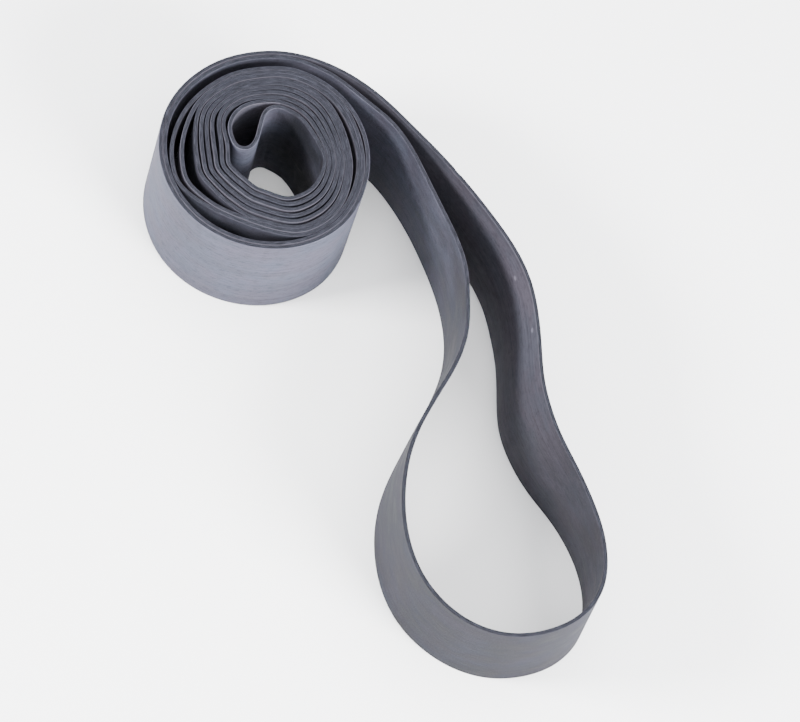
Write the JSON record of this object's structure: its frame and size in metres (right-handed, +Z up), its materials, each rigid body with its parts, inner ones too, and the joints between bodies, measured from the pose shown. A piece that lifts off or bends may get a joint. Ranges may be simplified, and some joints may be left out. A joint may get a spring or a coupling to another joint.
{
  "type": "stretching strap",
  "caption": "Endless flat rubber exercise strap, laid double and rolled up from its inner fold, with the outer part standing free as an open stretchable loop.",
  "frame": {"origin": "on the floor plane, under the middle of the bounding box of the roll and its free loop", "axes": "+Z up along the width of the strap, which stands on edge; +X from the roll towards the far end of the free loop; +Y completes a right-handed frame"},
  "size_m": [0.2351, 0.0982, 0.05],
  "materials": {
    "rubber_outer": "matte, dusty bloom",
    "rubber_wound": "matte"
  },
  "bodies": {
    "roll": {"wound_turn_1": "rubber_outer", "wound_turn_2": "rubber_wound", "wound_turn_3": "rubber_wound", "wound_turn_4": "rubber_wound", "wound_turn_5": "rubber_wound"},
    "fold": {"inner_fold": "rubber_wound"},
    "tail": {"rear_root": "rubber_outer", "front_root": "rubber_outer", "rear_strand": "rubber_outer", "front_strand": "rubber_outer"},
    "loop": {"loop_end": "rubber_outer"}
  },
  "joints": [
    {"name": "fold_flex", "type": "hinge", "parent": "roll", "child": "fold", "pos_m": [-0.09364, 0.0009, 0.025], "axis": [0, 0, 1], "range_deg": [0, 25], "stiffness_Nm_per_rad": 0.002},
    {"name": "tail_bend", "type": "hinge", "parent": "roll", "child": "tail", "pos_m": [-0.10745, 0.01424, 0.025], "axis": [0, 0, 1], "range_deg": [-5, 25], "stiffness_Nm_per_rad": 0.003},
    {"name": "loop_stretch", "type": "slide", "parent": "tail", "child": "loop", "axis": [1, 0, 0], "range_m": [0, 0.07], "stiffness_N_per_m": 750, "deforming": ["rear_strand", "front_strand"]}
  ]
}
